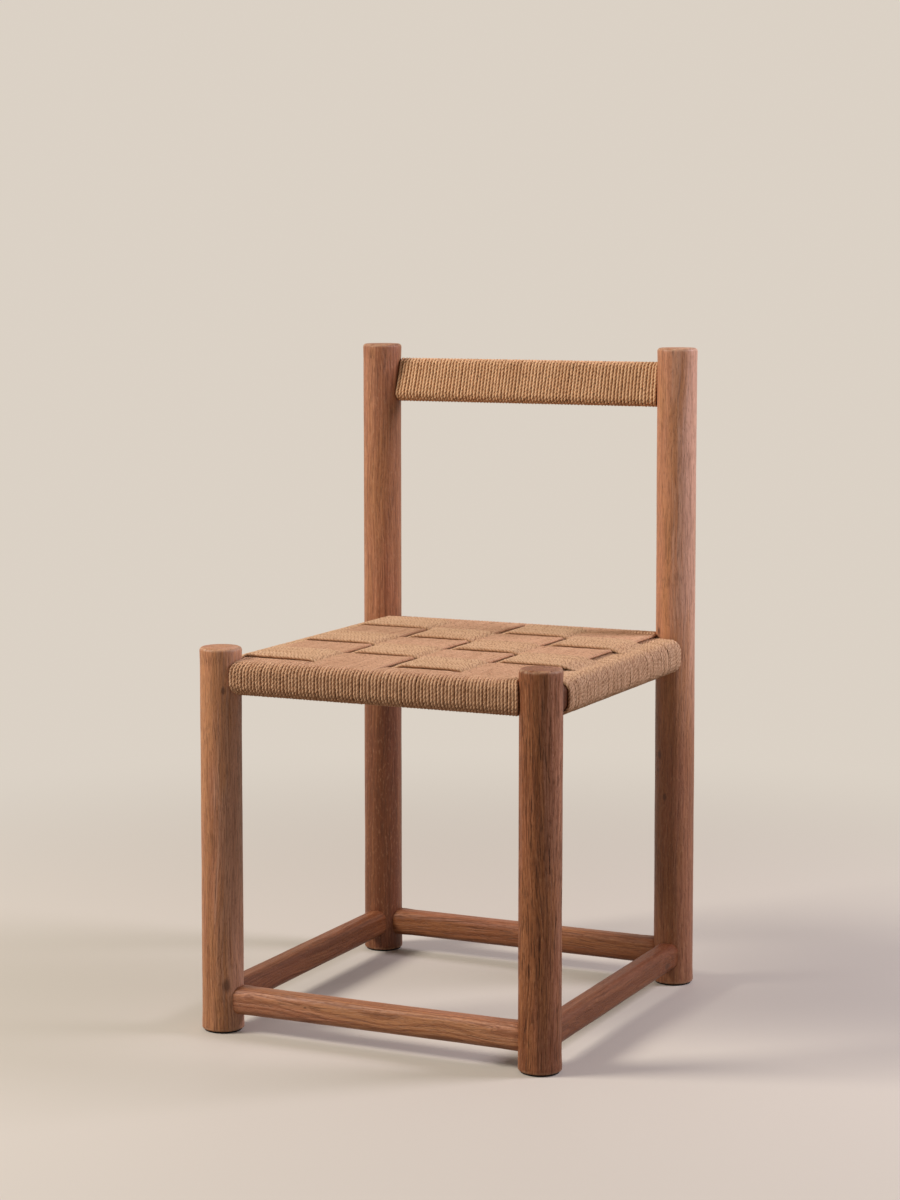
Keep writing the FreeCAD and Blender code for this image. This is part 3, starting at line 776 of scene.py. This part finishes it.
class CordSet:
    """The warp or the weft: cords that lie side by side round two rails.

    a runs from rail to rail and b across the cords.
    """

    def __init__(self, rail, along, bands, cords, crossings, legs_at, leg_radius, on_rail, give):
        low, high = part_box(rail)
        self.woven_over, self.squeeze, self.stray, self.bunching = give
        self.along = along
        self.across = 1 - along
        self.cords = cords
        self.crossings = crossings
        self.leg_a, self.leg_b = legs_at[along], legs_at[1 - along]
        self.leg_radius = leg_radius
        self.on_rail = on_rail
        self.bend = RAIL_ROUND + CORD_OFFSET
        self.face = high[along] + CORD_OFFSET
        self.corner = high[along] - RAIL_ROUND
        self.top = high.z + CORD_OFFSET
        self.bottom = low.z - CORD_OFFSET
        self.bands = bands
        self.pitch = (on_rail[1] - on_rail[0]) / (cords * len(bands))

    def free_place(self, band, lane, a):
        """Place across before a leg pushes: even on the rails, drawn into bands in the weave."""
        near, far = self.bands[band]
        woven = near + (lane + 0.5) * (far - near) / self.cords
        even = self.on_rail[0] + (band * self.cords + lane + 0.5) * self.pitch
        edge = max(abs(self.crossings[0][0]), abs(self.crossings[-1][1]))
        return woven + (even - woven) * smoothly(abs(a), edge + 0.001, self.corner)

    def place(self, band, lane, a):
        """Place across, pushed together where a leg stands in the way."""
        b = self.free_place(band, lane, a)
        aside = abs(abs(a) - self.leg_a)
        reach = self.leg_radius + LEG_ROOM
        if aside >= reach:
            return b
        limit = self.leg_b - math.sqrt(reach**2 - aside**2) - CORD_RADIUS
        outer_band, outer_lane = (0, 0) if b < 0 else (len(self.bands) - 1, self.cords - 1)
        edge = abs(self.free_place(outer_band, outer_lane, a))
        start = edge - LEG_SQUEEZE
        if edge > limit and abs(b) > start:
            squeezed = start + (abs(b) - start) * (limit - start) / (edge - start)
            return math.copysign(squeezed, b)
        return b

    def roll(self, side):
        """Control points (a, z) round a rail: up at the front or left, down at the other end."""
        reach = CORNER_REACH * self.bend
        points = [(self.corner - reach, self.bottom), (self.corner + reach, self.bottom),
                  (self.face, self.bottom + self.bend - reach), (self.face, (self.bottom + self.top) / 2),
                  (self.face, self.top - self.bend + reach), (self.corner + reach, self.top),
                  (self.corner - reach, self.top)]
        if side > 0:
            points.reverse()
        return [(side * a, z) for a, z in points]

    def run(self, levels, heights, on_top):
        """Control points (a, z) from the first rail to the last, over and under the crossings."""
        first, last = self.crossings[0][0], self.crossings[-1][1]
        steps = [(first - RAIL_LEAD, first)]
        steps += [(here[1], there[0]) for here, there in zip(self.crossings, self.crossings[1:])]
        steps += [(last, last + RAIL_LEAD)]
        points = []
        for (begin, end), before, after in zip(steps, [0] + levels, levels + [0]):
            ease, leave = STEP_EASE, heights[before]
            if self.woven_over and before < 0 < after:
                if on_top:
                    begin, end = begin + WEFT_LAG, begin + WEFT_CLIMB
                else:
                    begin, end = begin + WEFT_RISE, end + WEFT_RISE
            elif self.woven_over and on_top and before > 0:
                ease, leave = WEFT_BOW, heights[before] - WEFT_DIP
                end += WEFT_DIVE * (after < 0)
            points.append((begin - ease, heights[before], before))
            points.append((begin, leave, before))
            points.append((end, heights[after], after))
            points.append((end + STEP_EASE, heights[after], after))
        return points

    def band_route(self, band, levels, top_heights, under_heights):
        """Control points of one band's cord, wound loop by loop, moving on below the seat."""
        tail = self.corner - TAIL_IN
        last = self.cords - 1
        route = [(-tail + TAIL_IN / 3, self.bottom + TAIL_UP, 0, 0), (-tail, self.bottom + TAIL_UP / 3, 0, 0)]
        for lane in range(self.cords):
            tops = dict(top_heights)
            if not self.woven_over:
                at_left = max(0, 1 - lane / EDGE_CORDS) if band > 0 else 0
                at_right = max(0, 1 - (last - lane) / EDGE_CORDS)
                tops[-1] -= WARP_SINK_LEFT * at_left + WARP_SINK_RIGHT * at_right
                tops[1] += WARP_LIP * at_right
            route += [(a, z, lane, 0) for a, z in self.roll(-1)]
            route += [(a, z, lane, level) for a, z, level in self.run(levels, tops, True)]
            route += [(a, z, lane, 0) for a, z in self.roll(1)]
            if lane < last:
                below = self.run(levels, under_heights, False)[::-1]
                for a, z, level in below:
                    moved = (below[0][0] - a) / (below[0][0] - below[-1][0])
                    route.append((a, z, lane + moved, level))
        route += [(tail, self.bottom + TAIL_UP / 3, last, 0),
                  (tail - TAIL_IN / 3, self.bottom + TAIL_UP, last, 0)]
        lanes = np.arange(self.cords)
        strays = rng.normal(0, self.stray, self.cords)
        bunched = [bunches(self.cords) * self.bunching * self.pitch for edge in ("lower", "upper")]
        points = np.empty((len(route), 3))
        for index, (a, z, lane, level) in enumerate(route):
            on_rail = smoothly(abs(a), self.corner - RAIL_LEAD, self.corner)
            lower, upper = [np.interp(lane, lanes, places) * on_rail for places in bunched]
            up = (z - self.bottom) / (self.top - self.bottom)
            aside = np.interp(lane, lanes, strays) + lower + (upper - lower) * up
            if level < 0 and band > 0:
                aside += self.squeeze * (1 - lane / last)
            points[index, self.along] = a
            points[index, self.across] = self.place(band, lane, a) + aside + rng.normal(0, CORD_WANDER)
            points[index, 2] = z + rng.normal(0, CORD_WANDER / 2)
        return points


def make_seat():
    warp_nodes = ["seat_warp_band_" + str(index + 1) for index in range(WARP_BANDS)]
    weft_nodes = ["seat_weft_band_" + str(index + 1) for index in range(WEFT_BANDS)]
    warp_places = [(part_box(node)[0].x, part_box(node)[1].x) for node in warp_nodes]
    weft_places = [(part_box(node)[0].y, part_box(node)[1].y) for node in weft_nodes]
    low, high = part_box("back_right_post")
    legs_at = (low + high) / 2
    leg_radius = (high.x - low.x) / 2
    warp_on_rail = (warp_places[0][0], warp_places[-1][1])
    warp = CordSet("back_seat_rail", 1, warp_places, WARP_CORDS, weft_places, legs_at, leg_radius,
                   warp_on_rail, (False, WARP_SQUEEZE, WARP_STRAY, WARP_BUNCHING))
    weft = CordSet("right_seat_rail", 0, weft_places, WEFT_CORDS, warp_places, legs_at, leg_radius,
                   WEFT_ON_RAIL, (True, 0, WEFT_STRAY, WEFT_BUNCHING))
    thick = 2 * CORD_RADIUS - WARP_SWAY / 2
    warp_tops = {0: warp.top, 1: warp.top, -1: warp.top - WARP_DIP - WARP_CLEAR}
    weft_tops = {0: weft.top, 1: warp.top - WARP_DIP + thick, -1: warp.top - thick}
    warp_unders = {0: warp.bottom, 1: warp.bottom + 2 * WARP_SWAY, -1: warp.bottom}
    weft_unders = {0: weft.bottom, 1: warp_unders[-1] + thick, -1: warp_unders[1] - thick}
    warp_straw = straw_cord("warp_cord_finish", WARP_PALE, WARP_STRAW, 0.18, 0.5)
    weft_straw = straw_cord("weft_cord_finish", WEFT_PALE, WEFT_STRAW, 0.44, 0.8)
    for nodes, cords, others, tops, unders, straw, sign in (
            (warp_nodes, warp, weft_nodes, warp_tops, warp_unders, warp_straw, -1),
            (weft_nodes, weft, warp_nodes, weft_tops, weft_unders, weft_straw, 1)):
        side = np.eye(3)[cords.across]
        loop = 2 * (2 * cords.face + cords.top - cords.bottom)
        for band, node in enumerate(nodes):
            levels = [sign if (band + other) % 2 == 0 else -sign for other in range(len(others))]
            points = cords.band_route(band, levels, tops, unders)
            piece = twisted_cord(node + "_cord", points, side, loop / TONES_IN_LOOP)
            finish_piece(piece, straw, "seat_cord", node)


def spread_to_posts(places, edge):
    """Places along the rail, spread so that the turn at the edge follows the round post."""
    low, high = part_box("back_right_post")
    post = (low + high) / 2
    reach = (high.x - low.x) / 2 + LEG_ROOM / 2
    limit = post.x - np.sqrt(reach**2 - (places[:, 1] - post.y) ** 2) - CORD_RADIUS
    start = edge - END_SPREAD
    x = np.abs(places[:, 0])
    spread = start + (x - start) * (limit - start) / END_SPREAD
    return np.where(x > start, np.copysign(spread, places[:, 0]), places[:, 0])


def make_backrest():
    nodes = ["backrest_cord_" + str(index + 1) for index in range(len(BACKREST_TURNS))]
    corners = np.array([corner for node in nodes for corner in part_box(node)])
    centre = (corners.min(0) + corners.max(0)) / 2
    # Painted light: brighter straw colours stand in for the light on the backrest's front.
    straw = straw_cord("backrest_cord_painted_light", BACKREST_PALE_PAINTED_LIGHT, BACKREST_STRAW_PAINTED_LIGHT, 0.36, 0.55)
    half_t = BACKREST_T / 2 + CORD_OFFSET
    half_h = BACKREST_H / 2 + CORD_OFFSET
    bend = BACKREST_ROUND + CORD_OFFSET
    reach = CORNER_REACH * bend
    ends_t = half_t - bend + reach
    ends_h = half_h - bend + reach
    flat = half_h - bend - reach
    once_round = [(half_t, 0), (half_t, -flat), (half_t, -ends_h), (ends_t, -half_h), (0, -half_h),
                  (-ends_t, -half_h), (-half_t, -ends_h), (-half_t, -flat), (-half_t, 0), (-half_t, flat),
                  (-half_t, ends_h), (-ends_t, half_h), (0, half_h), (ends_t, half_h), (half_t, ends_h),
                  (half_t, flat)]
    gone = np.cumsum([0] + [math.dist(a, b) for a, b in zip(once_round, once_round[1:] + once_round[:1])])
    shares = gone / gone[-1]
    all_turns = sum(BACKREST_TURNS)
    start = -all_turns * BACKREST_PITCH / 2
    lean = np.array([[1, 0, 0], [0, math.cos(BACKREST_TILT), math.sin(BACKREST_TILT)],
                     [0, -math.sin(BACKREST_TILT), math.cos(BACKREST_TILT)]])
    before = 0

    def across(turned):
        """Place along the rail after so many turns. The first and the last half turn lie level."""
        return start + (0.5 + min(max(turned - 0.5, 0), all_turns - 1)) * BACKREST_PITCH

    for node, turns in zip(nodes, BACKREST_TURNS):
        first, last = across(before), across(before + turns)
        route = [(first, 0, -TUCK), (first, half_t - TUCK_BEND, -TUCK),
                 (first, half_t, -TUCK - TUCK_BEND / 2), (first, half_t, -TUCK - 2 * TUCK_BEND)]
        for turn in range(turns):
            for share, (y, z) in list(zip(shares, once_round))[1:]:
                route.append((across(before + turn + share), y, z))
            if turn < turns - 1:
                route.append((across(before + turn + 1), half_t, 0))
        route += [(last, half_t, TUCK + 2 * TUCK_BEND), (last, half_t, TUCK + TUCK_BEND / 2),
                  (last, half_t - TUCK_BEND, TUCK), (last, 0, TUCK)]
        points = np.array(route)
        turn_of = (points[:, 0] - first) / BACKREST_PITCH
        points[:, 0] += np.interp(turn_of, np.arange(turns), rng.normal(0, WARP_STRAY, turns))
        points[:, 0] += rng.normal(0, CORD_WANDER, len(points))
        places = points @ lean.T + centre
        places[:, 0] = spread_to_posts(places, -across(0))
        piece = twisted_cord(node + "_cord", places, np.array([1.0, 0, 0]), gone[-1])
        finish_piece(piece, straw, "backrest_cord", node)
        before += turns


# Floor, light and camera

def seen_rays(tree):
    """1 for what the camera sees, straight or in a mirroring or clear surface."""
    rays = [tree.node("ShaderNodeLightPath", output=name)
            for name in ("Is Camera Ray", "Is Glossy Ray", "Is Transmission Ray")]
    return tree.node("ShaderNodeClamp", None, {0: rays[0] + rays[1] + rays[2]})


def make_floor():
    """Pale floor that runs out into the backdrop's colour and throws little light back up."""
    bpy.ops.object.select_all(action="DESELECT")
    bpy.ops.mesh.primitive_circle_add(vertices=96, radius=8, fill_type="NGON")
    floor = bpy.context.object
    floor.name = "floor"
    material, tree, shader = new_material("pale_floor")
    here = tree.node("ShaderNodeTexCoord", output="Object")
    seen = seen_rays(tree)
    wire(shader, Base_Color=seen.mixed(FLOOR_BOUNCE, FLOOR), Roughness=0.6, Specular_IOR_Level=0.2)
    far = here.length().between(0.5, 1.7) * seen
    glow = tree.node("ShaderNodeEmission", None, {"Color": BACKDROP})
    surface = Shade(material.node_tree, shader.outputs[0])
    mixed = tree.node("ShaderNodeMixShader", None, {0: far, 1: surface, 2: glow})
    below = tree.node("ShaderNodeNewGeometry", output="Backfacing")
    clear = tree.node("ShaderNodeBsdfTransparent")
    mixed = tree.node("ShaderNodeMixShader", None, {0: below, 1: mixed, 2: clear})
    material.node_tree.links.new(mixed.socket, material.node_tree.nodes["Material Output"].inputs["Surface"])
    floor.data.materials.append(material)


def soft_light(name, place, aim, size, power, colour):
    lamp = bpy.data.lights.new(name, "AREA")
    lamp.shape = "DISK"
    lamp.size = size
    lamp.energy = power
    lamp.color = colour
    holder = bpy.data.objects.new(name, lamp)
    holder.location = place
    holder.rotation_euler = (Vector(aim) - Vector(place)).to_track_quat("-Z", "Y").to_euler()
    bpy.context.collection.objects.link(holder)


def make_light():
    soft_light("left_light", (-2.3, -1.6, 2.35), (0, 0, 0.4), 1.2, 109, (1.0, 0.95, 0.88))
    soft_light("right_light", (1.75, 0.75, 1.6), (0, 0, 0.45), 0.9, 36, (0.92, 0.86, 1.0))
    world = bpy.data.worlds.new("studio")
    bpy.context.scene.world = world
    world.use_nodes = True
    tree = Shade(world.node_tree)
    sky = world.node_tree.nodes["Background"]
    sky.inputs["Color"].default_value = (1.0, 0.97, 0.94, 1)
    sky.inputs["Strength"].default_value = 0.28
    backdrop = tree.node("ShaderNodeBackground", None, {"Color": BACKDROP, "Strength": 1.0})
    light = Shade(world.node_tree, sky.outputs[0])
    mixed = tree.node("ShaderNodeMixShader", None, {0: seen_rays(tree), 1: light, 2: backdrop})
    world.node_tree.links.new(mixed.socket, world.node_tree.nodes["World Output"].inputs["Surface"])
    bpy.context.scene.view_settings.view_transform = "Standard"


def make_camera():
    lens = bpy.data.cameras.new("camera")
    lens.sensor_width = SENSOR
    lens.lens = FOCAL_PIXELS / IMAGE_HEIGHT * SENSOR
    lens.shift_y = (EYE_LEVEL_PIXEL - IMAGE_HEIGHT / 2) / IMAGE_HEIGHT
    camera = bpy.data.objects.new("camera", lens)
    camera.location = CAMERA_PLACE
    camera.rotation_euler = (math.pi / 2 - CAMERA_DIP, 0, CAMERA_TURN)
    bpy.context.collection.objects.link(camera)
    bpy.context.scene.camera = camera


make_legs()
make_stretchers()
make_hidden_bars()
make_foot_pads()
make_seat()
make_backrest()
make_floor()
make_light()
make_camera()
